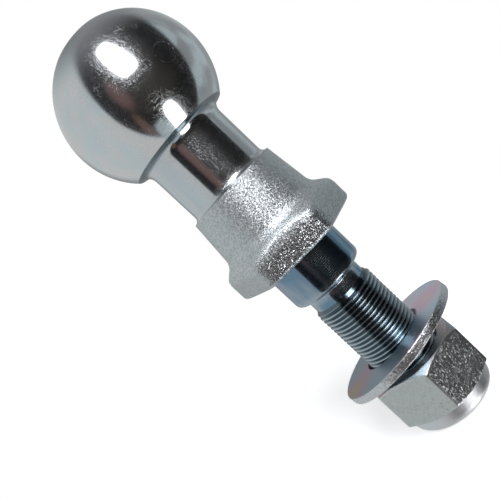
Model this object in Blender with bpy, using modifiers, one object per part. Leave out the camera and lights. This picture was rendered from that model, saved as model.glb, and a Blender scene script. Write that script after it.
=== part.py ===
"""Threaded tow ball: a forged steel coupling ball with its flat washer and its locking nut.

The ball stands upright on the end of its nut. The axis of the forging is the world Z axis,
and Z = 0 is the end face of the nut. Lengths are in metres, and angles in degrees.
"""

import math

import bmesh
import bpy
from mathutils import Matrix, Vector

# Ball, cut flat on top and squared off above the neck
BALL_DIAMETER = 0.0500
TOP_FLAT_DIAMETER = 0.0230
BALL_BASE_DIAMETER = 0.0368
BALL_CENTRE_HEIGHT = 0.0671

# Turned neck between the ball and the forged shoulder
NECK_DIAMETER = 0.0290
NECK_TOP_FILLET = 0.0036
NECK_FOOT_FILLET = 0.0022

# Forged shoulder, which widens down to the hexagon
SHOULDER_TOP_DIAMETER = 0.0326
SHOULDER_TOP_HEIGHT = 0.0286
SHOULDER_FOOT_DIAMETER = 0.0361
SHOULDER_FOOT_HEIGHT = 0.0122
SHOULDER_FOOT_FILLET = 0.0040

# Hexagonal flange with a sloping top, whose underside is the seat of the ball
FLANGE_ACROSS_FLATS = 0.0412
FLANGE_CORNER_TRIM = 0.0002
FLANGE_CORNER_HEIGHT = 0.0078
FLANGE_SHOULDER_FILLET = 0.0022
FLANGE_FOOT_ROUND = 0.0012
FLANGE_TURN = -3.2

# Spigot that fills the hole of the tow bar
SPIGOT_DIAMETER = 0.0262
SPIGOT_LENGTH = 0.0139
SPIGOT_END_ROUND = 0.0028

# Groove that relieves the thread, and the shank at its crest diameter
GROOVE_DIAMETER = 0.0195
GROOVE_LENGTH = 0.0047
GROOVE_FILLET = 0.0012
THREAD_DIAMETER = 0.0219
THREAD_RUN_OUT = 0.0018
SHANK_LENGTH = 0.0710
SHANK_END_CHAMFER = 0.0014

# Locking nut: a hexagon chamfered at both ends, and a crimped collar
NUT_ACROSS_FLATS = 0.0320
NUT_HEIGHT = 0.0230
NUT_BELOW_FLANGE = 0.0490
NUT_BEARING_DIAMETER = 0.0317
NUT_CHAMFER_ANGLE = 30.0
NUT_BLANK_MARGIN = 0.0006
NUT_TURN = -2.4
COLLAR_DIAMETER = 0.0314
COLLAR_HEIGHT = 0.0062
COLLAR_ROUND = 0.0034
COLLAR_LIP_DIAMETER = 0.0228
COLLAR_LIP_THICKNESS = 0.0014
BORE_COUNTERSINK = 0.0012

# Nylon ring that the collar holds
INSERT_WALL = 0.0023
INSERT_HEIGHT = 0.0042
INSERT_EDGE_ROUND = 0.0005

# Flat washer, which hangs loosely on the thread and leans on the nut
WASHER_DIAMETER = 0.0472
WASHER_BORE = 0.0242
WASHER_THICKNESS = 0.0029
WASHER_EDGE_ROUND = 0.0004
WASHER_LEAN = 11.5
WASHER_LOW_SIDE = 137.0

# Clearance between pieces that touch, and between the thread and what runs on it
FIT_GAP = 0.0003

# Facets, and how far a cutter stands clear of what it cuts
TURN_STEPS = 60
BALL_UPPER_STEPS = 12
BALL_LOWER_STEPS = 9
FILLET_STEPS = 4
CUTTER_MARGIN = 0.0010

# Heights of the main planes, from the end face of the nut upwards
NUT_BEARING_Z = NUT_HEIGHT
FLANGE_SEAT_Z = NUT_BEARING_Z + NUT_BELOW_FLANGE
BALL_CENTRE_Z = FLANGE_SEAT_Z + BALL_CENTRE_HEIGHT
SHOULDER_TOP_Z = FLANGE_SEAT_Z + SHOULDER_TOP_HEIGHT
SHOULDER_FOOT_Z = FLANGE_SEAT_Z + SHOULDER_FOOT_HEIGHT
SPIGOT_END_Z = FLANGE_SEAT_Z - SPIGOT_LENGTH
SHANK_END_Z = FLANGE_SEAT_Z - SHANK_LENGTH
NUT_BORE_RADIUS = THREAD_DIAMETER / 2 + FIT_GAP

# Finishes: colour, metallic value and roughness
BRIGHT_ZINC = ("bright_zinc", (0.62, 0.65, 0.67), 1.0, 0.22)
PLATED_WASHER = ("plated_washer", (0.58, 0.57, 0.59), 1.0, 0.35)
PLATED_NUT = ("plated_nut", (0.50, 0.52, 0.53), 1.0, 0.40)
WHITE_NYLON = ("white_nylon", (0.80, 0.79, 0.74), 0.0, 0.45)


def clear_scene():
    """Remove every object that the scene starts with."""
    for old in list(bpy.data.objects):
        bpy.data.objects.remove(old, do_unlink=True)


def make_collection(name):
    """Return a new collection linked to the scene."""
    collection = bpy.data.collections.new(name)
    bpy.context.scene.collection.children.link(collection)
    return collection


def make_material(finish):
    """Return a Principled material of one colour."""
    name, colour, metallic, roughness = finish
    material = bpy.data.materials.new(name)
    material.use_nodes = True
    material.diffuse_color = (*colour, 1.0)
    shader = material.node_tree.nodes["Principled BSDF"]
    shader.inputs["Base Color"].default_value = (*colour, 1.0)
    shader.inputs["Metallic"].default_value = metallic
    shader.inputs["Roughness"].default_value = roughness
    return material


def corner_radius(across_flats):
    """Radius of the sharp corners of a hexagon."""
    return across_flats / math.sqrt(3)


def arc(centre_z, radius, start, end, steps):
    """Points (x, z) on a circle about a centre on the axis, from one latitude to another."""
    latitudes = [math.radians(start + (end - start) * i / steps) for i in range(steps + 1)]
    return [(radius * math.cos(a), centre_z + radius * math.sin(a)) for a in latitudes]


def fillet(before, corner, after):
    """Points of the arc that rounds a corner, which its two sides limit where they are short."""
    here = Vector(corner[:2])
    radius = corner[2]
    back = Vector(before[:2]) - here
    ahead = Vector(after[:2]) - here
    half = back.angle(ahead) / 2
    room_back = back.length / (2 if before[2] else 1)
    room_ahead = ahead.length / (2 if after[2] else 1)
    reach = min(radius / math.tan(half), 0.98 * room_back, 0.98 * room_ahead)
    radius = reach * math.tan(half)
    centre = here + (back.normalized() + ahead.normalized()).normalized() * radius / math.sin(half)
    first = here + back.normalized() * reach - centre
    last = here + ahead.normalized() * reach - centre
    sweep = -first.angle_signed(last)
    points = []
    for step in range(FILLET_STEPS + 1):
        turn = Matrix.Rotation(sweep * step / FILLET_STEPS, 2)
        points.append(tuple(centre + turn @ first))
    return points


def rounded(corners, closed=False):
    """Outline through corners (x, z, fillet radius)."""
    outline = []
    count = len(corners)
    for index, corner in enumerate(corners):
        is_end = not closed and index in (0, count - 1)
        if corner[2] == 0 or is_end:
            outline.append(corner[:2])
        else:
            after = corners[(index + 1) % count]
            outline.extend(fillet(corners[index - 1], corner, after))
    return outline


def turn_outline(name, outline, collection, closed=False, steps=TURN_STEPS):
    """Turn an outline of (x, z) points about Z, as on a lathe, or to a prism in few steps."""
    drawing = bmesh.new()
    points = [drawing.verts.new((x, 0.0, z)) for x, z in outline]
    for first, second in zip(points, points[1:]):
        drawing.edges.new((first, second))
    if closed:
        drawing.edges.new((points[-1], points[0]))
    mesh = bpy.data.meshes.new(name)
    drawing.to_mesh(mesh)
    drawing.free()
    piece = bpy.data.objects.new(name, mesh)
    collection.objects.link(piece)
    screw = piece.modifiers.new("Turn", "SCREW")
    screw.axis = "Z"
    screw.angle = math.tau
    screw.steps = steps
    screw.render_steps = steps
    screw.use_merge_vertices = True
    screw.merge_threshold = 0.000001
    screw.use_smooth_shade = True
    return piece


def add_boolean(piece, cutter, operation):
    """Cut or trim a piece with a cutter."""
    modifier = piece.modifiers.new(cutter.name, "BOOLEAN")
    modifier.operation = operation
    modifier.solver = "EXACT"
    modifier.object = cutter


def place_cutter(cutter, turn):
    """Turn a cutter about Z, and show it as a wire that doesn't render."""
    cutter.rotation_euler.z = math.radians(turn)
    cutter.hide_render = True
    cutter.display_type = "WIRE"


def finish_piece(piece, material):
    """Settle a piece's modifiers, give it its finish, and shade it smooth up to its edges."""
    depsgraph = bpy.context.evaluated_depsgraph_get()
    mesh = bpy.data.meshes.new_from_object(piece.evaluated_get(depsgraph))
    drawn = piece.data
    piece.modifiers.clear()
    piece.data = mesh
    bpy.data.meshes.remove(drawn)
    mesh.name = piece.name
    mesh.materials.clear()
    mesh.materials.append(material)
    mesh.shade_smooth()
    mesh.set_sharp_from_angle(angle=math.radians(28))


def tow_ball_outline():
    """Outline of the whole forging, from its top flat down to the end of its shank."""
    ball_radius = BALL_DIAMETER / 2
    top_latitude = math.degrees(math.acos(TOP_FLAT_DIAMETER / BALL_DIAMETER))
    base_latitude = -math.degrees(math.acos(BALL_BASE_DIAMETER / BALL_DIAMETER))
    upper = arc(BALL_CENTRE_Z, ball_radius, top_latitude, 0.0, BALL_UPPER_STEPS)
    lower = arc(BALL_CENTRE_Z, ball_radius, 0.0, base_latitude, BALL_LOWER_STEPS)
    base_x, base_z = lower[-1]

    neck = NECK_DIAMETER / 2
    blank = corner_radius(FLANGE_ACROSS_FLATS) - FLANGE_CORNER_TRIM
    spigot = SPIGOT_DIAMETER / 2
    groove = GROOVE_DIAMETER / 2
    groove_end_z = SPIGOT_END_Z - GROOVE_LENGTH
    thread = THREAD_DIAMETER / 2
    stem = rounded([
        (base_x, base_z, 0.0),
        (neck, base_z, NECK_TOP_FILLET),
        (neck, SHOULDER_TOP_Z, NECK_FOOT_FILLET),
        (SHOULDER_TOP_DIAMETER / 2, SHOULDER_TOP_Z, 0.0),
        (SHOULDER_FOOT_DIAMETER / 2, SHOULDER_FOOT_Z, SHOULDER_FOOT_FILLET),
        (blank, FLANGE_SEAT_Z + FLANGE_CORNER_HEIGHT, FLANGE_SHOULDER_FILLET),
        (blank, FLANGE_SEAT_Z, FLANGE_FOOT_ROUND),
        (spigot, FLANGE_SEAT_Z, 0.0),
        (spigot, SPIGOT_END_Z, SPIGOT_END_ROUND),
        (groove, SPIGOT_END_Z, GROOVE_FILLET),
        (groove, groove_end_z, 0.0),
        (thread, groove_end_z - THREAD_RUN_OUT, 0.0),
        (thread, SHANK_END_Z + SHANK_END_CHAMFER, 0.0),
        (thread - SHANK_END_CHAMFER, SHANK_END_Z, 0.0),
        (0.0, SHANK_END_Z, 0.0),
    ])
    return [(0.0, upper[0][1])] + upper + lower[1:] + stem[1:]


def flange_hexagon_cutter(collection):
    """Hexagonal ring that trims the round blank of the flange, and rounds its lower edges."""
    flat = FLANGE_ACROSS_FLATS / 2
    outside = corner_radius(FLANGE_ACROSS_FLATS) + CUTTER_MARGIN
    bottom = FLANGE_SEAT_Z - CUTTER_MARGIN
    top = SHOULDER_FOOT_Z + CUTTER_MARGIN
    foot = flat - FLANGE_FOOT_ROUND
    section = [(flat, top), (outside, top), (outside, bottom), (foot, bottom)]
    for step in range(FILLET_STEPS + 1):
        angle = math.radians(90 - 90 * step / FILLET_STEPS)
        rise = FLANGE_FOOT_ROUND * (1 - math.sin(angle))
        section.append((foot + FLANGE_FOOT_ROUND * math.cos(angle), FLANGE_SEAT_Z + rise))
    corners = [(corner_radius(2 * x), z) for x, z in section]
    cutter = turn_outline("flange_hexagon_cutter", corners, collection, closed=True, steps=6)
    place_cutter(cutter, FLANGE_TURN)
    return cutter


def make_tow_ball(parts, cutters, material):
    """The forging: ball, neck, shoulder, hexagonal flange, spigot and threaded shank."""
    tow_ball = turn_outline("tow_ball", tow_ball_outline(), parts)
    add_boolean(tow_ball, flange_hexagon_cutter(cutters), "DIFFERENCE")
    finish_piece(tow_ball, material)


def nut_outline():
    """Closed outline of the nut blank: its outside, its collar and its stepped bore."""
    bearing = NUT_BEARING_DIAMETER / 2
    blank = corner_radius(NUT_ACROSS_FLATS) + NUT_BLANK_MARGIN
    collar = COLLAR_DIAMETER / 2
    lip = COLLAR_LIP_DIAMETER / 2
    slope = math.tan(math.radians(NUT_CHAMFER_ANGLE))
    pocket = NUT_BORE_RADIUS + INSERT_WALL + FIT_GAP
    pocket_top = COLLAR_LIP_THICKNESS + INSERT_HEIGHT + 2 * FIT_GAP
    return rounded([
        (NUT_BORE_RADIUS + BORE_COUNTERSINK, NUT_BEARING_Z, 0.0),
        (bearing, NUT_BEARING_Z, 0.0),
        (blank, NUT_BEARING_Z - (blank - bearing) * slope, 0.0),
        (blank, COLLAR_HEIGHT + (blank - collar) * slope, 0.0),
        (collar, COLLAR_HEIGHT, 0.0),
        (collar, 0.0, COLLAR_ROUND),
        (lip, 0.0, 0.0),
        (lip, COLLAR_LIP_THICKNESS, 0.0),
        (pocket, COLLAR_LIP_THICKNESS, 0.0),
        (pocket, pocket_top, 0.0),
        (NUT_BORE_RADIUS, pocket_top, 0.0),
        (NUT_BORE_RADIUS, NUT_BEARING_Z - BORE_COUNTERSINK, 0.0),
    ], closed=True)


def nut_hexagon_cutter(collection):
    """Hexagonal bar that trims the turned nut blank to its flats."""
    radius = corner_radius(NUT_ACROSS_FLATS)
    top = NUT_HEIGHT + CUTTER_MARGIN
    bar = [(0.0, top), (radius, top), (radius, -CUTTER_MARGIN), (0.0, -CUTTER_MARGIN)]
    cutter = turn_outline("nut_hexagon_cutter", bar, collection, steps=6)
    place_cutter(cutter, NUT_TURN + 30)
    return cutter


def make_nut(parts, cutters, steel, nylon):
    """The nut and the nylon ring in its collar, both on an empty on the axis of the thread."""
    axis = bpy.data.objects.new("nut_axis", None)
    parts.objects.link(axis)
    nut_body = turn_outline("nut_body", nut_outline(), parts, closed=True)
    add_boolean(nut_body, nut_hexagon_cutter(cutters), "INTERSECT")
    finish_piece(nut_body, steel)
    nut_body.parent = axis

    bottom = COLLAR_LIP_THICKNESS + FIT_GAP
    top = bottom + INSERT_HEIGHT
    outer = NUT_BORE_RADIUS + INSERT_WALL
    ring = rounded([
        (NUT_BORE_RADIUS, top, INSERT_EDGE_ROUND),
        (outer, top, 0.0),
        (outer, bottom, 0.0),
        (NUT_BORE_RADIUS, bottom, INSERT_EDGE_ROUND),
    ], closed=True)
    nylon_insert = turn_outline("nylon_insert", ring, parts, closed=True)
    finish_piece(nylon_insert, nylon)
    nylon_insert.parent = axis


def washer_seat(lean):
    """Shift and height of the washer's centre, where its low side meets the thread and the nut."""
    half = WASHER_THICKNESS / 2
    low_edge = WASHER_BORE / 2 * math.cos(lean) - half * math.sin(lean)
    shift = THREAD_DIAMETER / 2 + FIT_GAP - low_edge
    contact = NUT_BEARING_DIAMETER / 2 - shift
    height = FIT_GAP + half / math.cos(lean) + contact * math.tan(lean)
    return shift, height


def make_washer(parts, material):
    """The stamped washer, centred on its own origin and then hung on the thread."""
    lean = math.radians(WASHER_LEAN)
    shift, height = washer_seat(lean)
    axis = bpy.data.objects.new("washer_axis", None)
    axis.location.z = NUT_BEARING_Z + height
    axis.rotation_euler.z = math.radians(WASHER_LOW_SIDE)
    parts.objects.link(axis)
    bore = WASHER_BORE / 2
    rim = WASHER_DIAMETER / 2
    half = WASHER_THICKNESS / 2
    ring = rounded([
        (bore, half, 0.0),
        (rim, half, WASHER_EDGE_ROUND),
        (rim, -half, WASHER_EDGE_ROUND),
        (bore, -half, 0.0),
    ], closed=True)
    flat_washer = turn_outline("flat_washer", ring, parts, closed=True)
    finish_piece(flat_washer, material)
    flat_washer.parent = axis
    flat_washer.location.x = shift
    flat_washer.rotation_euler.y = lean


def main():
    """Build the tow ball, its washer and its nut."""
    clear_scene()
    parts = make_collection("threaded_tow_ball")
    cutters = make_collection("cutters")
    make_tow_ball(parts, cutters, make_material(BRIGHT_ZINC))
    make_washer(parts, make_material(PLATED_WASHER))
    make_nut(parts, cutters, make_material(PLATED_NUT), make_material(WHITE_NYLON))


main()
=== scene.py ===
# %% [markdown]
# Threaded tow ball
#
# A tow ball is one steel forging, turned on a lathe and plated with zinc, with a flat washer and
# a locking nut on its thread. This notebook loads the measured frame of the part, spins finer
# meshes over it, and gives each surface its finish: polished, turned, shot-blasted or sheared.
# Lengths are in metres, and the thread's axis is the world Z axis.

# %% Load the frame
import math

import bmesh
import bpy
from mathutils import Matrix, Vector


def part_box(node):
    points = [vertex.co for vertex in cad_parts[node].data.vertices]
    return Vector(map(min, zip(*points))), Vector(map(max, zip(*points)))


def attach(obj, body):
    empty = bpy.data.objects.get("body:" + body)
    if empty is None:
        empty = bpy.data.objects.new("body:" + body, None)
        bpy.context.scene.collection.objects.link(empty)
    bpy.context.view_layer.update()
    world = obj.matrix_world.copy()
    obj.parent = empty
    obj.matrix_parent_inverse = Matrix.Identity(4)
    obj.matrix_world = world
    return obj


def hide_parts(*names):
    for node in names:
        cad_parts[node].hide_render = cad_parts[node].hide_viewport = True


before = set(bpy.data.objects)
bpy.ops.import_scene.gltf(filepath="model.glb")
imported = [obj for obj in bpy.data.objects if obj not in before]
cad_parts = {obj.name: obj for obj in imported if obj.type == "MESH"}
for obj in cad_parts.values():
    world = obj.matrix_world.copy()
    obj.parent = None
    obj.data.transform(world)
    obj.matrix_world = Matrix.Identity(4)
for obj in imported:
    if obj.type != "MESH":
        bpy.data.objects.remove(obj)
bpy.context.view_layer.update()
scene = bpy.context.scene
print("nodes of the frame:", sorted(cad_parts))

# %% [markdown]
# Where things are
#
# The frame already knows how high everything stands, so the main heights are read from its
# boxes. Only what a box can't tell, such as a neck or a groove, is written as a size here.

# %% Heights from the frame
BALL_DIAMETER = 0.0500
TOP_FLAT_DIAMETER = 0.0230
BALL_BASE_DIAMETER = 0.0368

ball_low, ball_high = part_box("tow_ball")
nut_low, nut_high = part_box("nut_body")
washer_low, washer_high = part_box("flat_washer")

top_latitude = math.acos(TOP_FLAT_DIAMETER / BALL_DIAMETER)
base_latitude = math.acos(BALL_BASE_DIAMETER / BALL_DIAMETER)
ball_centre_z = ball_high.z - BALL_DIAMETER / 2 * math.sin(top_latitude)
ball_base_z = ball_centre_z - BALL_DIAMETER / 2 * math.sin(base_latitude)
shank_end_z = ball_low.z
nut_bearing_z = nut_high.z
print(f"the ball's centre is {1000 * ball_centre_z:.1f} mm above the floor")

# %% Sizes of the forging
SEAT_BELOW_BALL_CENTRE = 0.0671
NECK_DIAMETER = 0.0290
NECK_TOP_FILLET = 0.0036
NECK_FOOT_FILLET = 0.0022
SHOULDER_TOP_DIAMETER = 0.0326
SHOULDER_TOP_HEIGHT = 0.0286
SHOULDER_FOOT_DIAMETER = 0.0361
SHOULDER_FOOT_HEIGHT = 0.0122
SHOULDER_FOOT_FILLET = 0.0040
FLANGE_ACROSS_FLATS = 0.0412
FLANGE_CORNER_HEIGHT = 0.0078
FLANGE_SHOULDER_FILLET = 0.0036
FLANGE_FOOT_ROUND = 0.0016
FLANGE_TURN = math.radians(-3.2)
SPIGOT_DIAMETER = 0.0262
SPIGOT_LENGTH = 0.0139
SPIGOT_END_ROUND = 0.0028
GROOVE_DIAMETER = 0.0195
GROOVE_LENGTH = 0.0047
GROOVE_FILLET = 0.0012

seat_z = ball_centre_z - SEAT_BELOW_BALL_CENTRE
spigot_end_z = seat_z - SPIGOT_LENGTH
groove_end_z = spigot_end_z - GROOVE_LENGTH

# %% Sizes of the thread
THREAD_DIAMETER = 0.0219
THREAD_ROOT_DIAMETER = 0.02006
THREAD_PITCH = 0.0015
THREAD_RUN_OUT = 0.0018
SHANK_END_CHAMFER = 0.0014

# %% Sizes of the nut and the washer
NUT_ACROSS_FLATS = 0.0320
NUT_BEARING_DIAMETER = 0.0317
NUT_CHAMFER_ANGLE = math.radians(30)
NUT_BLANK_MARGIN = 0.0006
NUT_CORNER_ROUND = 0.0016
NUT_TURN = math.radians(27.6)
NUT_BORE_DIAMETER = 0.0225
COLLAR_DIAMETER = 0.0314
COLLAR_HEIGHT = 0.0062
COLLAR_TAPER = 0.0010
COLLAR_ROUND = 0.0040
COLLAR_LIP_DIAMETER = 0.0228
COLLAR_LIP_THICKNESS = 0.0014
BORE_COUNTERSINK = 0.0012
INSERT_POCKET_DIAMETER = 0.0277
INSERT_POCKET_TOP = 0.0062

WASHER_DIAMETER = 0.0472
WASHER_BORE = 0.0242
WASHER_THICKNESS = 0.0029
WASHER_EDGE_ROUND = 0.0004
WASHER_LEAN = math.radians(11.5)
WASHER_LOW_SIDE = math.radians(137.0)

# %% [markdown]
# The camera comes first
#
# The photograph was taken close up, with the tow ball lying across the frame. Here the tow ball
# stands upright, so the camera is the one that rolls. A close camera with a short lens gives the
# same perspective: the ball looks larger than the nut. The shift moves the frame, not the camera.

# %% Camera
CAMERA_DISTANCE = 0.17136
CAMERA_BELOW_BALL_CENTRE = 0.04080
CAMERA_PAN = math.radians(8.709)
CAMERA_TILT = math.radians(-5.667)
CAMERA_ROLL = math.radians(-47.55)
CAMERA_LENS = 38.90
CAMERA_SHIFT = (0.0608, 0.0802)
CAMERA_CLIP_START = 0.01


def make_camera():
    """A camera that looks along +Y before it is panned, tilted and rolled."""
    camera = bpy.data.objects.new("camera", bpy.data.cameras.new("camera"))
    scene.collection.objects.link(camera)
    camera.location = (0.0, -CAMERA_DISTANCE, ball_centre_z - CAMERA_BELOW_BALL_CENTRE)
    aim = (
        Matrix.Rotation(CAMERA_PAN, 3, "Z")
        @ Matrix.Rotation(math.pi / 2 + CAMERA_TILT, 3, "X")
        @ Matrix.Rotation(CAMERA_ROLL, 3, "Z")
    )
    camera.rotation_euler = aim.to_euler()
    camera.data.lens = CAMERA_LENS
    camera.data.shift_x, camera.data.shift_y = CAMERA_SHIFT
    camera.data.clip_start = CAMERA_CLIP_START
    scene.camera = camera


make_camera()
print("camera at", [round(1000 * value) for value in scene.camera.location], "mm")

# %% [markdown]
# Shader maths as Python
#
# Every finish below is a small network of nodes. Wrapping one output socket in a class lets an
# expression such as `1 - mask * 0.3` add its own Math nodes. All other nodes come from `add_node`,
# which takes a node's type, its settings and the values or links of its sockets.


# %% The socket class
class Value:
    """One output of a node, which Python's operators can work on where it is a number."""

    def __init__(self, socket):
        self.socket = socket

    def math(self, operation, *others):
        """A Math node on this value and others."""
        inputs = dict(enumerate([self, *others]))
        return add_node(self.socket.id_data, "ShaderNodeMath", {"operation": operation}, inputs)

    def __add__(self, other):
        return self.math("ADD", other)

    __radd__ = __add__

    def __sub__(self, other):
        return self.math("SUBTRACT", other)

    def __rsub__(self, other):
        return (self * -1.0) + other

    def __mul__(self, other):
        return self.math("MULTIPLY", other)

    __rmul__ = __mul__

    def __truediv__(self, other):
        return self.math("DIVIDE", other)

    def __rtruediv__(self, other):
        return self ** -1.0 * other

    def __pow__(self, other):
        return self.math("POWER", other)

    def __abs__(self):
        return self.math("ABSOLUTE")

    def step(self, low, high):
        """0 below the first limit, 1 above the second, and a smooth rise between them."""
        return add_node(
            self.socket.id_data,
            "ShaderNodeMapRange",
            {"interpolation_type": "SMOOTHSTEP"},
            {"Value": self, "From Min": low, "From Max": high},
        )


# %% Nodes, and the helpers that stand on them
def add_node(tree, kind, settings, inputs, output=0):
    """Add a node, set it up, fill its sockets with values or links, and wrap one output."""
    node = tree.nodes.new(kind)
    for name, setting in settings.items():
        if name == "stops":
            set_stops(node.color_ramp, setting)
        else:
            setattr(node, name, setting)
    for name, given in inputs.items():
        if isinstance(given, Value):
            tree.links.new(given.socket, node.inputs[name])
        else:
            node.inputs[name].default_value = given
    return Value(node.outputs[output]) if node.outputs else None


def set_stops(ramp, stops):
    """Give a colour ramp its stops, each a place and a colour."""
    for place, colour in stops[1:-1]:
        ramp.elements.new(place).color = (*colour, 1.0)
    for element, (place, colour) in ((ramp.elements[0], stops[0]), (ramp.elements[-1], stops[-1])):
        element.position = place
        element.color = (*colour, 1.0)


# A Mix node has its sockets once for each kind of value, and all kinds share their names. So the
# two functions below find them by number.
def mix_colours(tree, factor, first, second, blend="MIX"):
    """Blend two colours, which may each be a plain colour or a socket."""
    first = first if isinstance(first, Value) else (*first, 1.0)
    second = second if isinstance(second, Value) else (*second, 1.0)
    settings = {"data_type": "RGBA", "blend_type": blend}
    return add_node(tree, "ShaderNodeMix", settings, {0: factor, 6: first, 7: second}, output=2)


def mix_vectors(tree, factor, first, second):
    """Blend two vectors, such as two normals."""
    inputs = {0: factor, 4: first, 5: second}
    return add_node(tree, "ShaderNodeMix", {"data_type": "VECTOR"}, inputs, output=1)


def split(tree, vector):
    """The three parts of a vector."""
    part = add_node(tree, "ShaderNodeSeparateXYZ", {}, {"Vector": vector})
    return [Value(output) for output in part.socket.node.outputs]


def noise(tree, vector, cells_per_metre, detail=2.0, roughness=0.5):
    """Soft noise between 0 and 1, mostly near a half."""
    inputs = {"Vector": vector, "Scale": cells_per_metre, "Detail": detail, "Roughness": roughness}
    return add_node(tree, "ShaderNodeTexNoise", {}, inputs)


def stretched(tree, vector, scale):
    """Coordinates scaled by a factor of its own along each axis."""
    return add_node(tree, "ShaderNodeMapping", {}, {"Vector": vector, "Scale": scale})


# %% [markdown]
# The studio
#
# Bright metal has hardly a colour of its own: what it shows is the room. The object was lit in
# a pale tent, open on the camera's side. The open side is dark, with one softbox above the lens,
# a lit strip of table below it and faint brown things beside it. Behind the object the tent grows
# darker, and a pale apron lies in front of the table's edge. A mirror ball in that room shows
# all of it as one round picture, so the room is painted here in the picture's own coordinates:
# right and up from the ball's middle, with 1 at its rim. Painting it on the world keeps every
# reflection sharp and free of noise, and leaves nothing in the way of other views.


# %% Shapes on the mirror ball's picture
def blob(right, up, middle, half, lean=0.0, taper=0.0, soft=0.3, power=3.0):
    """A rounded rectangle on the mirror ball's picture, 1 inside and 0 outside."""
    above = up - middle[1]
    across = abs((right - above * lean - middle[0]) / (half[0] - above * taper)) ** power
    along = abs((up - middle[1]) / half[1]) ** power
    return 1 - (across + along).step(1 - soft, 1 + soft)


# %% The open side
OPENING_MIDDLE = 0.185
OPENING_REACH = 0.53
OPENING_RISE = 0.92
OPENING_DROP = 0.70
OPENING_EDGE_FADE = 0.05
OPENING_TOP_FADE = 0.22
OPENING_COLOUR = (0.013, 0.012, 0.012)
OPENING_LEFT = (0.008, 0.008, 0.012)
CEILING_COLOUR = (0.30, 0.30, 0.315)
CEILING_RISE = (0.42, 0.95)

# Each faint thing has a middle, half its size, how soft its edge is, and a colour.
OLIVE_GLOW = ((0.18, -0.13), (0.30, 0.20), 0.9, (0.040, 0.036, 0.030))
PINK_STREAK = ((-0.105, 0.07), (0.080, 0.19), 0.95, (0.17, 0.100, 0.095))
BROWN_STREAK = ((-0.165, -0.37), (0.045, 0.20), 0.95, (0.15, 0.092, 0.070))


def paint_opening(tree, right, up, tent):
    """The open side of the tent, an egg that fades at its top, and the faint things in it."""
    across = ((right - OPENING_MIDDLE) / OPENING_REACH) ** 2.0
    above = (up.math("MAXIMUM", 0.0) / OPENING_RISE) ** 2.0
    below = (up.math("MINIMUM", 0.0) / OPENING_DROP) ** 2.0
    fade = above * OPENING_TOP_FADE + OPENING_EDGE_FADE
    inside = 1 - (across + above + below).step(1 - fade, 1 + fade)
    dark = mix_colours(tree, right.step(-0.32, 0.05), OPENING_LEFT, OPENING_COLOUR)
    for middle, half, soft, colour in (OLIVE_GLOW, PINK_STREAK, BROWN_STREAK):
        thing = blob(right, up, middle, half, soft=soft, power=2.0)
        dark = mix_colours(tree, thing, dark, colour)
    dark = mix_colours(tree, up.step(*CEILING_RISE), dark, CEILING_COLOUR)
    return mix_colours(tree, inside, tent, dark)


# %% The pale tent and its lights
TENT_LEFT = (0.668, 0.661, 0.656)
TENT_RIGHT = (0.29, 0.305, 0.315)
TENT_BLUE = (0.57, 0.66, 0.69)
TENT_TOP = (0.22, 0.235, 0.245)
TENT_BEHIND = (0.28, 0.29, 0.30)
TENT_CLOUDS = 2.4
TABLE_GLOW = (0.42, 0.49, 0.52)
TABLE_COLOUR = (4.4, 4.4, 4.5)
APRON_COLOUR = (1.0, 1.0, 1.02)
LIGHT_COLOUR = (8.0, 8.0, 8.3)
BACKDROP_COLOUR = (1.0, 1.0, 1.0)


def paint_lights(tree, right, up, y, room):
    """The lit strip of table with its glow, the apron in front of it, and the softbox."""
    glow = blob(right, up, (-0.03, -0.56), (0.09, 0.14), soft=0.6)
    room = mix_colours(tree, glow, room, TABLE_GLOW)
    table = blob(right, up, (0.180, -0.54), (0.098, 0.19), lean=0.12, soft=0.12)
    room = mix_colours(tree, table, room, TABLE_COLOUR)
    apron = blob(right, up, (0.21, -0.80), (0.24, 0.14), soft=0.6)
    room = mix_colours(tree, apron * (1 - y.step(0.2, 0.6)), room, APRON_COLOUR)
    softbox = blob(
        right, up, (0.152, 0.36), (0.112, 0.222), lean=-0.13, taper=0.10, soft=0.12, power=3.6)
    return mix_colours(tree, softbox, room, LIGHT_COLOUR)


def make_tent():
    """The room that the metal reflects, and a plain white backdrop for the camera."""
    world = bpy.data.worlds.new("pale_tent")
    scene.world = world
    world.use_nodes = True
    tree = world.node_tree
    tree.nodes.clear()
    outward = add_node(tree, "ShaderNodeTexCoord", {}, {}, output="Generated")
    x, y, z = split(tree, outward)
    size = (2 - 2 * y) ** 0.5
    right, up = x / size, z / size

    clouds = noise(tree, outward, TENT_CLOUDS, detail=1)
    tent = mix_colours(tree, x.step(0.0, 0.85), TENT_LEFT, TENT_RIGHT)
    tent = mix_colours(tree, clouds.step(0.42, 0.60) * 0.7, tent, TENT_BLUE)
    top = up.step(0.55, 0.95) * right.step(-0.75, 0.0) * (1 - y.step(0.80, 0.95))
    tent = mix_colours(tree, top, tent, TENT_TOP)
    behind = y.step(0.70, 0.97) * (1 - z.step(0.15, 0.40))
    tent = mix_colours(tree, behind, tent, TENT_BEHIND)
    room = paint_opening(tree, right, up, tent)
    room = paint_lights(tree, right, up, y, room)
    seen = add_node(tree, "ShaderNodeLightPath", {}, {}, output="Is Camera Ray")
    shown = mix_colours(tree, seen, room, BACKDROP_COLOUR)
    background = add_node(tree, "ShaderNodeBackground", {}, {"Color": shown, "Strength": 1.0})
    add_node(tree, "ShaderNodeOutputWorld", {}, {"Surface": background})


make_tent()
scene.view_settings.view_transform = "Standard"
print("the room is a world of", len(scene.world.node_tree.nodes), "nodes")

# %% The floor
FLOOR_RADIUS = 0.16
FLOOR_COLOUR = (0.82, 0.82, 0.82, 1.0)
FLOOR_GLOW = 0.65


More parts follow.
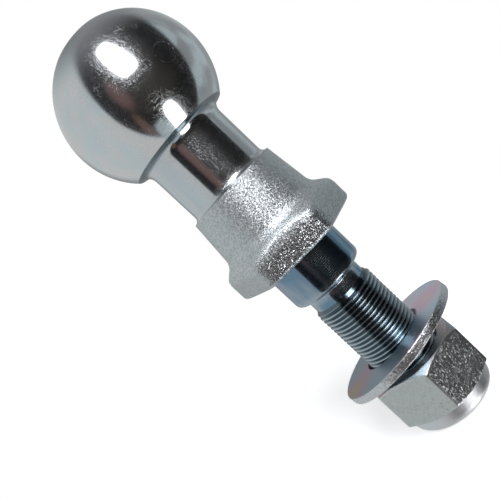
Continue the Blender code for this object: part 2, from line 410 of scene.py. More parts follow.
def make_floor():
    """A round, pale table top that glows a little, so that it fades into the white backdrop."""
    shape = bmesh.new()
    bmesh.ops.create_circle(shape, cap_ends=True, segments=96, radius=FLOOR_RADIUS)
    mesh = bpy.data.meshes.new("floor")
    shape.to_mesh(mesh)
    shape.free()
    floor = bpy.data.objects.new("floor", mesh)
    scene.collection.objects.link(floor)
    material = bpy.data.materials.new("pale_floor")
    material.use_nodes = True
    shader = material.node_tree.nodes["Principled BSDF"]
    shader.inputs["Base Color"].default_value = FLOOR_COLOUR
    shader.inputs["Roughness"].default_value = 0.9
    shader.inputs["Emission Color"].default_value = FLOOR_COLOUR
    shader.inputs["Emission Strength"].default_value = FLOOR_GLOW
    mesh.materials.append(material)
    floor.visible_glossy = False


make_floor()

# %% [markdown]
# Turning on the lathe
#
# Most of the part is turned, so most of its meshes start as a profile and a spin, as on a lathe.
# A profile is a chain of a few corners. A vertex bevel rounds the corners, more cuts give it
# enough rings, and one spin about Z makes the solid.

# %% Profile helpers
MERGE_DISTANCE = 0.0000005
ROUND_SEGMENTS = 6
SHARE_OF_EDGE = 0.98
SHARP_EDGE = math.radians(30)


def chain(drawing, corners, segments=ROUND_SEGMENTS):
    """Join corners (x, z, fillet radius) by edges and round those that have a radius.

    Two rounds that share an edge get half of it each at most, so that they never meet.
    """
    points = [drawing.verts.new((x, 0.0, z)) for x, z, _ in corners]
    for first, second in zip(points, points[1:]):
        drawing.edges.new((first, second))
    for index in range(1, len(points) - 1):
        radius = corners[index][2]
        if radius:
            before, here, after = (Vector(corner[:2]) for corner in corners[index - 1:index + 2])
            reach = radius / math.tan((before - here).angle(after - here) / 2)
            for neighbour in (corners[index - 1], corners[index + 1]):
                room = (Vector(neighbour[:2]) - here).length / (2 if neighbour[2] else 1)
                reach = min(reach, SHARE_OF_EDGE * room)
            bmesh.ops.bevel(
                drawing, geom=[points[index]], offset=reach, offset_type="OFFSET",
                segments=segments, profile=0.5, affect="VERTICES", material=-1,
            )


def cut_finely(drawing, edges, longest):
    """Cut edges of a profile until none is longer than a limit."""
    for edge in edges:
        cuts = math.ceil(edge.calc_length() / longest) - 1
        if cuts > 0:
            bmesh.ops.subdivide_edges(drawing, edges=[edge], cuts=cuts)


def spin_solid(drawing, steps):
    """Spin a profile all the way round Z, and close it."""
    bmesh.ops.spin(
        drawing, geom=drawing.verts[:] + drawing.edges[:], cent=(0, 0, 0), axis=(0, 0, 1),
        dvec=(0, 0, 0), angle=math.tau, steps=steps, use_merge=True, use_duplicate=False,
    )
    bmesh.ops.remove_doubles(drawing, verts=drawing.verts, dist=MERGE_DISTANCE)


def settle(drawing, name, body, node, materials):
    """Turn a drawing into a finished piece that stands for a node of the frame."""
    bmesh.ops.recalc_face_normals(drawing, faces=drawing.faces)
    mesh = bpy.data.meshes.new(name)
    drawing.to_mesh(mesh)
    drawing.free()
    mesh.shade_smooth()
    mesh.set_sharp_from_angle(angle=SHARP_EDGE)
    for material in materials:
        mesh.materials.append(material)
    piece = bpy.data.objects.new(name, mesh)
    scene.collection.objects.link(piece)
    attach(piece, body)
    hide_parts(node)
    triangles = sum(len(face.vertices) - 2 for face in mesh.polygons)
    print(f"{name}: {triangles} triangles")


# %% [markdown]
# Hexagons out of round blanks
#
# The flange and the nut are round blanks with six flats. Cutting the flats with a knife would give
# edges as sharp as paper, and a forging has soft ones. Each ring of the spun mesh is pulled in
# instead, to the nearer of two surfaces: its own circle, or the flats. A high power of both makes
# one soft surface out of the two, and a lower power makes softer edges.


# %% Pull a round blank to six flats
FACING = 0.3


def crowd_to_corners(drawing, turn, crowding):
    """Slide the columns of a spun mesh round its axis, so that they crowd at the six corners."""
    for vertex in drawing.verts:
        angle = math.atan2(vertex.co.y, vertex.co.x)
        slide = -crowding / 6 * math.sin(6 * (angle - turn))
        vertex.co = Matrix.Rotation(slide, 3, "Z") @ vertex.co


def pull_to_flats(vertices, turn, half_width, hardness):
    """Pull vertices in to six flats. half_width gives the flats' distance at a height.

    Only flats that face a vertex well enough can pull it.
    """
    for vertex in vertices:
        radius = math.hypot(vertex.co.x, vertex.co.y)
        angle = math.atan2(vertex.co.y, vertex.co.x) - turn
        flat = half_width(vertex.co.z)
        total = 1.0
        for side in range(6):
            lean = math.cos(angle - math.radians(30 + 60 * side))
            if lean > FACING:
                total += (radius * lean / flat) ** hardness
        shrink = total ** (-1 / hardness)
        vertex.co.x *= shrink
        vertex.co.y *= shrink


# %% [markdown]
# The forging
#
# Ball, neck, shoulder, flange, spigot and shank are one piece of steel. One profile runs from the
# flat on top of the ball down to the groove. The ball's own arc is a spin as well: one vertex,
# swung about the ball's centre.

# %% Profile of the forging
FORGING_STEPS = 240
COARSE_RING = 0.0011
FLANGE_RING = 0.00028
FLANGE_HARDNESS = 28
FLANGE_CROWDING = 0.6
SPIGOT_MARGIN = 0.001
BALL_ARC_STEPS = 60


def swing_ball_arc(drawing):
    """Swing one vertex about the ball's centre, from the top flat to the ball's base."""
    vertex = drawing.verts.new((TOP_FLAT_DIAMETER / 2, 0.0, ball_high.z))
    bmesh.ops.spin(
        drawing, geom=[vertex], cent=(0, 0, ball_centre_z), axis=(0, 1, 0), dvec=(0, 0, 0),
        angle=top_latitude + base_latitude, steps=BALL_ARC_STEPS,
        use_merge=False, use_duplicate=False,
    )


def draw_forging():
    """The profile from the middle of the top flat down to the end of the groove."""
    drawing = bmesh.new()
    shoulder_z = seat_z + SHOULDER_TOP_HEIGHT
    blank = FLANGE_ACROSS_FLATS / math.sqrt(3)
    spigot = SPIGOT_DIAMETER / 2
    groove = GROOVE_DIAMETER / 2
    chain(drawing, [(0.0, ball_high.z, 0.0), (TOP_FLAT_DIAMETER / 2, ball_high.z, 0.0)])
    chain(drawing, [
        (BALL_BASE_DIAMETER / 2, ball_base_z, 0.0),
        (NECK_DIAMETER / 2, ball_base_z, NECK_TOP_FILLET),
        (NECK_DIAMETER / 2, shoulder_z, NECK_FOOT_FILLET),
        (SHOULDER_TOP_DIAMETER / 2, shoulder_z, 0.0),
        (SHOULDER_FOOT_DIAMETER / 2, seat_z + SHOULDER_FOOT_HEIGHT, SHOULDER_FOOT_FILLET),
        (blank, seat_z + FLANGE_CORNER_HEIGHT, FLANGE_SHOULDER_FILLET),
        (blank, seat_z, FLANGE_FOOT_ROUND),
        (spigot, seat_z, 0.0),
        (spigot, spigot_end_z, SPIGOT_END_ROUND),
        (groove, spigot_end_z, GROOVE_FILLET),
        (groove, groove_end_z, 0.0),
    ])
    swing_ball_arc(drawing)
    bmesh.ops.remove_doubles(drawing, verts=drawing.verts, dist=MERGE_DISTANCE)
    return drawing


def flange_half_width(z):
    """Distance of the flange's flats from the axis, which shrinks at the rounded foot."""
    rise = min(z - seat_z, FLANGE_FOOT_ROUND)
    drop = FLANGE_FOOT_ROUND - rise
    inset = FLANGE_FOOT_ROUND - math.sqrt(max(FLANGE_FOOT_ROUND ** 2 - drop ** 2, 0.0))
    return FLANGE_ACROSS_FLATS / 2 - inset


def is_in_flange(vertex):
    """Whether a vertex is one of those that the flats can pull in."""
    low = seat_z - MERGE_DISTANCE
    high = seat_z + SHOULDER_FOOT_HEIGHT + SHOULDER_FOOT_FILLET
    inner = SPIGOT_DIAMETER / 2 + SPIGOT_MARGIN
    return low < vertex.co.z < high and math.hypot(*vertex.co.xy) > inner


# %% Spin the forging
forging = draw_forging()
flange_edges = [edge for edge in forging.edges if all(is_in_flange(v) for v in edge.verts)]
cut_finely(forging, flange_edges, FLANGE_RING)
cut_finely(forging, forging.edges[:], COARSE_RING)
spin_solid(forging, FORGING_STEPS)
crowd_to_corners(forging, FLANGE_TURN, FLANGE_CROWDING)
in_flange = [vertex for vertex in forging.verts if is_in_flange(vertex)]
pull_to_flats(in_flange, FLANGE_TURN, flange_half_width, FLANGE_HARDNESS)
print(f"the forging has {len(forging.verts)} vertices before its thread")

# %% [markdown]
# The thread
#
# The thread is a real helix, not a bump. One tooth is drawn, and one long spin that climbs a pitch
# each turn makes the whole thread, as a thread-cutting tool would. A cone at each end then
# limits the teeth, so that they fade into the groove and into the chamfered end of the shank.

# %% Cut the thread
THREAD_STEPS = 84
THREAD_CREST = 0.00020
THREAD_ROOT = 0.00026
THREAD_SOFT = 0.00006
THREAD_MERGE = 0.000002
THREAD_GAP = 0.00005


def draw_tooth(drawing, z):
    """One pitch of the thread, from root to root, with softened corners."""
    root = THREAD_ROOT_DIAMETER / 2
    crest = THREAD_DIAMETER / 2
    flank = (THREAD_PITCH - THREAD_CREST - THREAD_ROOT) / 2
    steps = ((root, THREAD_ROOT / 2), (crest, flank), (crest, THREAD_CREST), (root, flank))
    corners = [(root, z, 0.0)]
    for radius, rise in steps:
        z += rise
        corners.append((radius, z, THREAD_SOFT))
    corners.append((root, z + THREAD_ROOT / 2, 0.0))
    chain(drawing, corners, segments=2)


def limit_teeth(drawing):
    """Hold every vertex inside the cones at the two ends of the thread."""
    groove = GROOVE_DIAMETER / 2
    run_out_slope = (THREAD_DIAMETER - GROOVE_DIAMETER) / 2 / THREAD_RUN_OUT
    end = THREAD_DIAMETER / 2 - SHANK_END_CHAMFER
    for vertex in drawing.verts:
        radius = math.hypot(*vertex.co.xy)
        upper = groove + (groove_end_z - vertex.co.z) * run_out_slope
        lower = end + (vertex.co.z - shank_end_z)
        allowed = max(min(radius, upper, lower), min(groove, end))
        vertex.co.x *= allowed / radius
        vertex.co.y *= allowed / radius


def cut_thread():
    """The threaded part of the shank, open at the top and closed by its end face."""
    drawing = bmesh.new()
    turns = math.ceil((groove_end_z - shank_end_z) / THREAD_PITCH) + 3
    draw_tooth(drawing, shank_end_z - 2 * THREAD_PITCH)
    bmesh.ops.spin(
        drawing, geom=drawing.verts[:] + drawing.edges[:], cent=(0, 0, 0), axis=(0, 0, 1),
        dvec=(0, 0, THREAD_PITCH / THREAD_STEPS), angle=math.tau,
        steps=THREAD_STEPS, use_merge=False, use_duplicate=False,
    )
    one_turn = drawing.verts[:] + drawing.edges[:] + drawing.faces[:]
    for turn in range(1, turns):
        copied = bmesh.ops.duplicate(drawing, geom=one_turn)["geom"]
        vertices = [item for item in copied if isinstance(item, bmesh.types.BMVert)]
        bmesh.ops.translate(drawing, verts=vertices, vec=(0, 0, turn * THREAD_PITCH))
    bmesh.ops.remove_doubles(drawing, verts=drawing.verts, dist=THREAD_MERGE)
    for height, side in ((groove_end_z - THREAD_GAP, 1), (shank_end_z, -1)):
        bmesh.ops.bisect_plane(
            drawing, geom=drawing.verts[:] + drawing.edges[:] + drawing.faces[:],
            dist=MERGE_DISTANCE, plane_co=(0, 0, height), plane_no=(0, 0, side), clear_outer=True,
        )
    limit_teeth(drawing)
    rims = [edge for edge in drawing.edges if edge.is_boundary]
    lower_rim = [edge for edge in rims if edge.verts[0].co.z < shank_end_z + THREAD_GAP]
    end_face = bmesh.ops.contextual_create(drawing, geom=lower_rim)["faces"]
    bmesh.ops.poke(drawing, faces=end_face)
    print("rims of the thread:", len(rims) - len(lower_rim), len(lower_rim))
    return drawing


# %% Join the thread to the groove
def join(drawing, other):
    """Add another drawing's mesh to a drawing."""
    mesh = bpy.data.meshes.new("joined")
    other.to_mesh(mesh)
    other.free()
    drawing.from_mesh(mesh)
    bpy.data.meshes.remove(mesh)


join(forging, cut_thread())
open_rims = [edge for edge in forging.edges if edge.is_boundary]
bmesh.ops.bridge_loops(forging, edges=open_rims)
print("open edges that are left:", sum(edge.is_boundary for edge in forging.edges))

# %% [markdown]
# The finishes of the forging
#
# The same zinc plating looks different on each surface. The ball is polished but handled, the
# neck and the spigot show fine turning marks, and the shoulder and the flange were shot-blasted
# before plating, so that they glitter. Each surface gets its own material, from shared helpers.
# Blasted metal is a crowd of small craters, each of which mirrors another part of the room. Here
# the normal leans another way in each small cell, and the same grain dulls part of the polish.


# %% Start a metal material
def start_finish(name):
    """A new material, with its node tree, its shader and the coordinates of its object."""
    material = bpy.data.materials.new(name)
    material.use_nodes = True
    tree = material.node_tree
    shader = tree.nodes["Principled BSDF"]
    coordinates = add_node(tree, "ShaderNodeTexCoord", {}, {}, output="Object")
    return material, tree, shader, coordinates


def feed(tree, shader, **inputs):
    """Fill the shader's sockets with values or links. An underscore stands for a space."""
    for name, given in inputs.items():
        socket = shader.inputs[name.replace("_", " ")]
        if isinstance(given, Value):
            tree.links.new(given.socket, socket)
        elif socket.type == "RGBA":
            socket.default_value = (*given, 1.0)
        else:
            socket.default_value = given


def bump(tree, height, depth, normal=None):
    """A Bump node of a depth in metres, on top of another one if that is given."""
    inputs = {"Height": height, "Distance": depth, "Strength": 1.0}
    if normal is not None:
        inputs["Normal"] = normal
    return add_node(tree, "ShaderNodeBump", {}, inputs)


# %% Patterns that metal shows
def thin_lines(tree, vector, cells_per_metre, width, detail=0.0):
    """Thin wandering lines, where a soft noise crosses its middle."""
    field = noise(tree, vector, cells_per_metre, detail=detail)
    return 1 - abs(field - 0.5).step(0.0, width)


def cells(tree, vector, cells_per_metre):
    """Small cells, each of a random colour, whose three parts serve as random numbers."""
    inputs = {"Vector": vector, "Scale": cells_per_metre}
    return add_node(tree, "ShaderNodeTexVoronoi", {}, inputs, output="Color")


def smooth_normal(tree):
    """The surface's own normal."""
    return add_node(tree, "ShaderNodeNewGeometry", {}, {}, output="Normal")


def facets(tree, vector, cells_per_metre, lean):
    """A normal that leans its own way in each small cell, as on blasted or torn metal."""
    inputs = {0: cells(tree, vector, cells_per_metre), 1: (lean,) * 3, 2: (-lean / 2,) * 3}
    leans = add_node(tree, "ShaderNodeVectorMath", {"operation": "MULTIPLY_ADD"}, inputs)
    surface = smooth_normal(tree)
    leant = add_node(tree, "ShaderNodeVectorMath", {"operation": "ADD"}, {0: surface, 1: leans})
    return add_node(tree, "ShaderNodeVectorMath", {"operation": "NORMALIZE"}, {0: leant})


def add_haze(tree, shader, amount, roughness, colour, normal):
    """Mix a share of a much rougher metal into a finish, as a worn polish has."""
    inputs = {"Base Color": colour, "Roughness": roughness, "Metallic": 1.0, "Normal": normal}
    haze = add_node(tree, "ShaderNodeBsdfPrincipled", {}, inputs)
    inputs = {0: amount, 1: Value(shader.outputs[0]), 2: haze}
    mixed = add_node(tree, "ShaderNodeMixShader", {}, inputs)
    tree.links.new(mixed.socket, tree.nodes["Material Output"].inputs["Surface"])


# %% Handling marks on the ball
# Each scuff has a place, from the ball's centre, and a radius.
SCUFFS = (
    ((0.0100, -0.0201, 0.0111), 0.0026),
    ((0.0135, -0.0192, 0.0085), 0.0014),
    ((0.0032, -0.0231, -0.0088), 0.0044),
    ((-0.0051, -0.0242, 0.0038), 0.0020),
)
RING_SCRATCH = ((0.0139, -0.0205, -0.0020), 0.0030)


def distance(tree, spot, place):
    """How far a point is from a place that is given from the ball's centre."""
    inputs = {0: spot, 1: (place[0], place[1], place[2] + ball_centre_z)}
    return add_node(tree, "ShaderNodeVectorMath", {"operation": "DISTANCE"}, inputs, output="Value")


def draw_scratches(tree, spot):
    """Thin scratches, thickest where the ball has been knocked, and one of a ring."""
    worn = noise(tree, spot, 90, detail=4).step(0.52, 0.72) * 0.5
    for place, size in SCUFFS:
        worn = worn + (1 - distance(tree, spot, place).step(size * 0.4, size))
    lines = thin_lines(tree, stretched(tree, spot, (90, 260, 420)), 1, 0.014)
    lines = lines + thin_lines(tree, stretched(tree, spot, (380, 140, 90)), 1, 0.012)
    lines = lines + thin_lines(tree, spot, 520, 0.030, detail=1)
    place, size = RING_SCRATCH
    ring = 1 - abs(distance(tree, spot, place) - size).step(0.00004, 0.00016)
    dashes = noise(tree, spot, 1500).step(0.45, 0.52)
    return (lines * worn + ring * dashes).math("MINIMUM", 1.0)


# %% Polished ball
BALL_ZINC = (0.66, 0.69, 0.705)
BALL_WARM = (0.62, 0.60, 0.585)
BALL_GRAIN = 5400
BALL_LEAN = 0.26
HAZE_GRAIN = 4600
PITS_PER_METRE = 120


def make_ball_finish():
    """Polished zinc with a speckled haze, handling scratches and a few pits."""
    material, tree, shader, spot = start_finish("polished_zinc")
    clouds = noise(tree, spot, 55, detail=3)
    specks = split(tree, cells(tree, spot, HAZE_GRAIN))[0]
    scratches = draw_scratches(tree, spot)
    inputs = {"Vector": spot, "Scale": PITS_PER_METRE}
    pits = 1 - add_node(tree, "ShaderNodeTexVoronoi", {}, inputs).step(0.03, 0.07)
    colour = mix_colours(tree, clouds.step(0.45, 0.75) * 0.5, BALL_ZINC, BALL_WARM)
    normal = bump(tree, scratches * -1.0, 0.000008)
    normal = bump(tree, pits * -1.0, 0.00002, normal)
    rough = 0.09 + clouds * 0.05 + scratches * 0.2
    feed(tree, shader, Base_Color=colour, Metallic=1.0, Roughness=rough, Normal=normal)
    amount = 0.11 + specks * 0.14 + scratches * 0.32
    add_haze(tree, shader, amount, 0.28, colour, facets(tree, spot, BALL_GRAIN, BALL_LEAN))
    return material


# %% Turned neck and spigot
NECK_ZINC = (0.60, 0.63, 0.645)
SPIGOT_ZINC = (0.17, 0.285, 0.39)
TURNED_WORN = (0.55, 0.57, 0.59)
# Colour of a painted shade line that darkens a crease.
CREASE_SHADE_COLOUR = (0.10, 0.145, 0.165)
GLINT_SIDE_X = 0.0026
TURNING_FEED = 0.00062
TURNED_LEAN = 0.30


def make_turned_finish(name, zinc, crease_shade_z, haze_z, mark_glint):
    """Bright zinc over fine turning marks, with painted shade in one crease and haze at another.

    The turning marks are real, but they show on one side only, where the softbox glints on
    them, and a painted glint makes them lighter there. The last argument is how strongly they show.
    """
    material, tree, shader, spot = start_finish(name)
    x, y, z = split(tree, spot)
    rings = noise(tree, stretched(tree, spot, (60, 60, 4200)), 1, detail=2)
    patches = noise(tree, stretched(tree, spot, (160, 160, 60)), 1, detail=3)
    specks = split(tree, cells(tree, spot, HAZE_GRAIN))[0]
    turns = (z * (1 / TURNING_FEED)).math("FRACT")
    marks_and_glint = (1 - abs(turns - 0.5).step(0.06, 0.24)) * patches.step(0.30, 0.60)
    # Painted glint: the turning marks are kept to the side where the softbox glints on them.
    marks_and_glint = marks_and_glint * (1 - abs(x - GLINT_SIDE_X).step(0.0006, 0.0034)) * (1 - y.step(-0.003, 0.0))
    marks_and_glint = marks_and_glint * mark_glint
    # Painted shade: a dark line along one crease, under the ball on the neck and under the flange
    # seat on the spigot.
    crease_shade = 1 - abs(z - crease_shade_z).step(0.0002, 0.0012)
    foot = 1 - abs(z - haze_z).step(0.0010, 0.0035)
    colour = mix_colours(tree, patches.step(0.4, 0.7) * 0.4, zinc, TURNED_WORN)
    colour = mix_colours(tree, crease_shade * 0.85, colour, CREASE_SHADE_COLOUR)
    # The marks are painted lighter, a painted glint.
    colour = mix_colours(tree, foot * 0.45 + marks_and_glint, colour, NECK_ZINC)
    normal = bump(tree, rings, 0.0000018)
    rough = 0.09 + patches * 0.05
    feed(tree, shader, Base_Color=colour, Metallic=1.0, Roughness=rough, Normal=normal)
    amount = 0.04 + specks * (0.08 + patches.step(0.35, 0.6) * 0.14) + foot * 0.25 + marks_and_glint
    add_haze(tree, shader, amount, 0.34, colour, facets(tree, spot, HAZE_GRAIN, TURNED_LEAN))
    return material


# %% Shot-blasted forging
BLASTED_ZINC = (0.65, 0.69, 0.70)
BLASTED_DARK = (0.42, 0.45, 0.46)
PRESSED_ZINC = (0.53, 0.56, 0.57)
BLASTED_GRAIN = 3900
SHOULDER_LEAN = 0.36
FLANGE_LEAN = 0.53


def make_blasted_finish():
    """Zinc over the small craters that steel shot leaves, deepest on the pressed flange."""
    material, tree, shader, spot = start_finish("blasted_zinc")
    grain = noise(tree, spot, 3300, detail=2, roughness=0.6)
    swell = noise(tree, spot, 500, detail=2)
    corner_z = seat_z + FLANGE_CORNER_HEIGHT
    pressed = 1 - split(tree, spot)[2].step(corner_z - 0.002, corner_z)
    zinc = mix_colours(tree, pressed, BLASTED_ZINC, PRESSED_ZINC)
    pits = split(tree, cells(tree, spot, BLASTED_GRAIN))[2]
    colour = mix_colours(tree, pits.step(0.0, 0.7), BLASTED_DARK, zinc)
    normal = mix_vectors(
        tree, pressed,
        facets(tree, spot, BLASTED_GRAIN, SHOULDER_LEAN),
        facets(tree, spot, BLASTED_GRAIN, FLANGE_LEAN),
    )
    normal = bump(tree, grain, 0.00002, normal)
    normal = bump(tree, swell, 0.00003, normal)
    rough = 0.50 - pressed * 0.17
    feed(tree, shader, Base_Color=colour, Metallic=1.0, Roughness=rough, Normal=normal)
    return material


# %% Rolled thread
THREAD_ZINC = (0.52, 0.615, 0.65)
THREAD_ROOT_SHADE = (0.12, 0.16, 0.19)


def make_thread_finish():
    """Bluish zinc, with painted shade that darkens the roots."""
    material, tree, shader, spot = start_finish("thread_zinc")
    x, y = split(tree, spot)[:2]
    radius = (x * x + y * y) ** 0.5
    crest = radius.step(THREAD_ROOT_DIAMETER / 2 + 0.0002, THREAD_DIAMETER / 2)
    grain = noise(tree, spot, 2600, detail=2)
    patches = noise(tree, spot, 160, detail=3)
    # Painted shade: the roots are painted dark, and the crests less so.
    colour = mix_colours(tree, crest * (0.6 + patches * 0.4), THREAD_ROOT_SHADE, THREAD_ZINC)
    normal = bump(tree, grain, 0.000008)
    rough = 0.12 + patches * 0.1
    feed(tree, shader, Base_Color=colour, Metallic=1.0, Roughness=rough, Normal=normal)
    return material


# %% Give each zone of the forging its finish
BALL_ZONE, NECK_ZONE, BLASTED_ZONE, THREAD_ZONE, SPIGOT_ZONE = range(5)
SEAT_TOLERANCE = 0.00001


def zone_at(height):
    """The number of the finish that the forging has at a height."""
    if height > ball_base_z:
        return BALL_ZONE
    if height >= seat_z + SHOULDER_TOP_HEIGHT:
        return NECK_ZONE
    if height > seat_z - SEAT_TOLERANCE:
        return BLASTED_ZONE
    if height >= groove_end_z:
        return SPIGOT_ZONE
    return THREAD_ZONE


neck_finish = make_turned_finish(
    "turned_neck_zinc", NECK_ZINC, ball_base_z - 0.0004, seat_z + SHOULDER_TOP_HEIGHT, 0.0)
spigot_finish = make_turned_finish(
    "turned_spigot_zinc", SPIGOT_ZINC, seat_z, spigot_end_z, 0.70)
for face in forging.faces:
    face.material_index = zone_at(face.calc_center_median().z)
settle(
    forging, "forged_ball_and_shank", "tow_ball", "tow_ball",
    [make_ball_finish(), neck_finish, make_blasted_finish(), make_thread_finish(), spigot_finish],
)

# %% [markdown]
# The nut
#
# A locking nut is a hexagon, chamfered at its bearing face, with a round collar that holds a nylon
# ring. It is made as the flange is: spun as a blank, and pulled in to six flats, with harder edges.

# %% Spin the nut
NUT_STEPS = 240
NUT_RING = 0.0005
NUT_HARDNESS = 130
NUT_CROWDING = 0.8
NUT_BEARING_ROUND = 0.0003
COLLAR_FOOT_ROUND = 0.0002
HEXAGON_MARGIN_INWARD = 0.0002
HEXAGON_MARGIN_DOWN = 0.0003


def draw_nut():
    """The closed profile of the nut's blank, its collar and its stepped bore."""
    drawing = bmesh.new()
    bore = NUT_BORE_DIAMETER / 2
    bearing = NUT_BEARING_DIAMETER / 2
    blank = NUT_ACROSS_FLATS / math.sqrt(3) + NUT_BLANK_MARGIN
    collar = COLLAR_DIAMETER / 2
    lip = COLLAR_LIP_DIAMETER / 2
    slope = math.tan(NUT_CHAMFER_ANGLE)
    pocket = INSERT_POCKET_DIAMETER / 2
    start = (bore, nut_bearing_z - BORE_COUNTERSINK, 0.0)
    chain(drawing, [
        start,
        (bore + BORE_COUNTERSINK, nut_bearing_z, 0.0),
        (bearing, nut_bearing_z, NUT_BEARING_ROUND),
        (blank, nut_bearing_z - (blank - bearing) * slope, NUT_CORNER_ROUND),
        (blank, COLLAR_HEIGHT + (blank - collar) * slope, 0.0),
        (collar, COLLAR_HEIGHT, COLLAR_FOOT_ROUND),
        (collar - COLLAR_TAPER, nut_low.z, COLLAR_ROUND),
        (lip, nut_low.z, 0.0),
        (lip, COLLAR_LIP_THICKNESS, 0.0),
        (pocket, COLLAR_LIP_THICKNESS, 0.0),
        (pocket, INSERT_POCKET_TOP, 0.0),
        (bore, INSERT_POCKET_TOP, 0.0),
        start,
    ])
    bmesh.ops.remove_doubles(drawing, verts=drawing.verts, dist=MERGE_DISTANCE)
    return drawing


def is_in_hexagon(vertex):
    """Whether a vertex lies outside the bore and above the collar."""
    inner = COLLAR_DIAMETER / 2 - HEXAGON_MARGIN_INWARD
    low = COLLAR_HEIGHT - HEXAGON_MARGIN_DOWN
    return math.hypot(*vertex.co.xy) > inner and vertex.co.z > low


nut = draw_nut()
cut_finely(nut, nut.edges[:], NUT_RING)
spin_solid(nut, NUT_STEPS)
crowd_to_corners(nut, NUT_TURN, NUT_CROWDING)
in_hexagon = [vertex for vertex in nut.verts if is_in_hexagon(vertex)]
pull_to_flats(in_hexagon, NUT_TURN, lambda _: NUT_ACROSS_FLATS / 2, NUT_HARDNESS)

# %% The nut's finish
NUT_ZINC = (0.58, 0.61, 0.605)
NUT_DARK = (0.52, 0.545, 0.55)
COLLAR_ZINC = (0.70, 0.71, 0.72)
CHAMFER_ZINC = (0.97, 0.97, 0.95)
SHADED_SIDE_ZINC = (0.42, 0.47, 0.49)
NUT_GRAIN = (5200, 5200, 1900)
NUT_LEAN = 0.40
NUT_CORNER_LIMITS = (0.01812, 0.01824)


def make_nut_finish():
    """Dull zinc over grainy flats, with a smoother collar and painted shade on one side of the
    chamfer.
    """
    material, tree, shader, spot = start_finish("nut_zinc")
    x, y, z = split(tree, spot)
    grain = noise(tree, stretched(tree, spot, (3400, 3400, 1300)), 1, detail=2, roughness=0.6)
    drawn = noise(tree, stretched(tree, spot, (2400, 2400, 300)), 1, detail=2)
    collar = 1 - z.step(COLLAR_HEIGHT - 0.0004, COLLAR_HEIGHT + 0.0004)
    radius = (x * x + y * y) ** 0.5
    cone = (radius - NUT_BEARING_DIAMETER / 2) * math.tan(NUT_CHAMFER_ANGLE) + z - nut_bearing_z
    chamfer = cone.step(-0.0003, -0.0001)
    flat = (1 - collar) * (1 - chamfer) * (1 - radius.step(*NUT_CORNER_LIMITS))
    colour = mix_colours(tree, grain.step(0.30, 0.60), NUT_DARK, NUT_ZINC)
    colour = mix_colours(tree, collar, colour, COLLAR_ZINC)
    colour = mix_colours(tree, chamfer, colour, CHAMFER_ZINC)
    # Painted shade: the chamfer and bearing face are painted darker on the +X side.
    shaded_side = x.step(0.003, 0.012) * z.step(nut_bearing_z - 0.004, nut_bearing_z - 0.002)
    colour = mix_colours(tree, shaded_side * (1 - flat), colour, SHADED_SIDE_ZINC)
    grainy = facets(tree, stretched(tree, spot, NUT_GRAIN), 1, NUT_LEAN)
    normal = mix_vectors(tree, flat, smooth_normal(tree), grainy)
    normal = bump(tree, (grain + drawn * 0.3) * flat, 0.00002, normal)
    normal = bump(tree, drawn * collar, 0.00001, normal)
    rough = 0.36 + collar * 0.09 - chamfer * 0.08
    feed(tree, shader, Base_Color=colour, Metallic=1.0, Roughness=rough, Normal=normal)
    return material


settle(nut, "lock_nut_body", "nut", "nut_body", [make_nut_finish()])

# %% [markdown]
# The washer
#
# The washer was punched from sheet, so its faces are smooth and its rim is torn. It hangs loosely
# on the thread and leans on the nut. It is spun flat and then leaned, and the middle of its box in
# the frame says where its own middle is.

# %% Spin and lean the washer
WASHER_STEPS = 180
WASHER_RING = 0.0006
WASHER_BORE_ROUND = 0.0002


def draw_washer():
    """The washer's closed profile, with softened edges."""
    drawing = bmesh.new()
    half = WASHER_THICKNESS / 2
    bore, rim = WASHER_BORE / 2, WASHER_DIAMETER / 2
    start = (bore, 0.0, 0.0)
    chain(drawing, [
        start,
        (bore, half, WASHER_BORE_ROUND),
        (rim, half, WASHER_EDGE_ROUND),
        (rim, -half, WASHER_EDGE_ROUND),
        (bore, -half, WASHER_BORE_ROUND),
        start,
    ])
    bmesh.ops.remove_doubles(drawing, verts=drawing.verts, dist=MERGE_DISTANCE)
    return drawing


washer = draw_washer()
cut_finely(washer, washer.edges[:], WASHER_RING)
spin_solid(washer, WASHER_STEPS)
lean = Matrix.Rotation(WASHER_LOW_SIDE, 4, "Z") @ Matrix.Rotation(WASHER_LEAN, 4, "Y")
middle = (washer_low + washer_high) / 2
bmesh.ops.transform(washer, matrix=Matrix.Translation(middle) @ lean, verts=washer.verts)

# %% The washer's finish
WASHER_ZINC = (0.82, 0.80, 0.89)
WASHER_PINK = (0.90, 0.70, 0.84)
WASHER_BLUE = (0.66, 0.84, 0.95)
WASHER_GOLD = (0.94, 0.80, 0.54)
WASHER_LOW_SHADE = (0.52, 0.50, 0.50)
LOW_SHADE_LIMITS = (-0.016, 0.018)


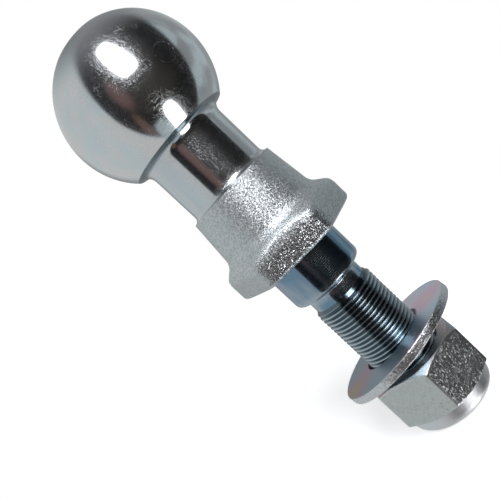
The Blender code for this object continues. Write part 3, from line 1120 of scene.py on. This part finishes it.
def make_washer_finish():
    """Smooth zinc with a faint play of colours, and painted shade that darkens its low side."""
    material, tree, shader, spot = start_finish("washer_zinc")
    clouds = noise(tree, spot, 42, detail=0)
    stops = [
        (0.34, WASHER_BLUE), (0.44, WASHER_ZINC), (0.52, WASHER_PINK),
        (0.60, WASHER_GOLD), (0.68, WASHER_BLUE),
    ]
    colour = add_node(tree, "ShaderNodeValToRGB", {"stops": stops}, {"Fac": clouds})
    # Painted shade: the washer is multiplied darker towards -X, on its low side.
    shaded_low_side = 1 - split(tree, spot)[0].step(*LOW_SHADE_LIMITS)
    colour = mix_colours(tree, shaded_low_side, colour, WASHER_LOW_SHADE, blend="MULTIPLY")
    grain = noise(tree, spot, 2600, detail=2)
    normal = bump(tree, grain, 0.000003)
    rough = 0.34 + clouds * 0.10
    feed(tree, shader, Base_Color=colour, Metallic=1.0, Roughness=rough, Normal=normal)
    return material


# %% The torn rim's finish
RIM_DARK = (0.50, 0.51, 0.53)
RIM_ZINC = (0.70, 0.72, 0.74)
RIM_GRAIN = 4200
RIM_LEAN = 0.42


def make_rim_finish():
    """Torn steel on the rim, plated over."""
    material, tree, shader, spot = start_finish("torn_rim_zinc")
    grain = noise(tree, spot, 2300, detail=3, roughness=0.65)
    colour = mix_colours(tree, grain.step(0.35, 0.60), RIM_DARK, RIM_ZINC)
    normal = bump(tree, grain, 0.00003, facets(tree, spot, RIM_GRAIN, RIM_LEAN))
    feed(tree, shader, Base_Color=colour, Metallic=1.0, Roughness=0.30, Normal=normal)
    return material


# %% Give the washer's faces and its rim their finishes
straighten = (Matrix.Translation(middle) @ lean).inverted()
for face in washer.faces:
    at = straighten @ face.calc_center_median()
    face.material_index = int(math.hypot(*at.xy) > WASHER_DIAMETER / 2 - WASHER_EDGE_ROUND / 3)
settle(washer, "stamped_washer", "washer", "flat_washer",
       [make_washer_finish(), make_rim_finish()])


# %% [markdown]
# The nylon ring
#
# The ring inside the nut's collar grips the thread, so that the nut can't shake loose. Nothing of
# its shape needs more detail, so it stays the frame's own mesh and only gets a finish.

# %% The nylon ring
NYLON_PALE = (0.84, 0.83, 0.79)
NYLON_DULL = (0.72, 0.71, 0.66)


def make_nylon_finish():
    """Milky nylon with a soft sheen."""
    material, tree, shader, spot = start_finish("milky_nylon")
    clouds = noise(tree, spot, 300, detail=3)
    colour = mix_colours(tree, clouds, NYLON_PALE, NYLON_DULL)
    normal = bump(tree, noise(tree, spot, 2500, detail=2), 0.00001)
    rough = 0.42 + clouds * 0.1
    feed(tree, shader, Base_Color=colour, Metallic=0.0, Roughness=rough, Normal=normal)
    return material


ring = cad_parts["nylon_insert"]
ring.data.materials.clear()
ring.data.materials.append(make_nylon_finish())
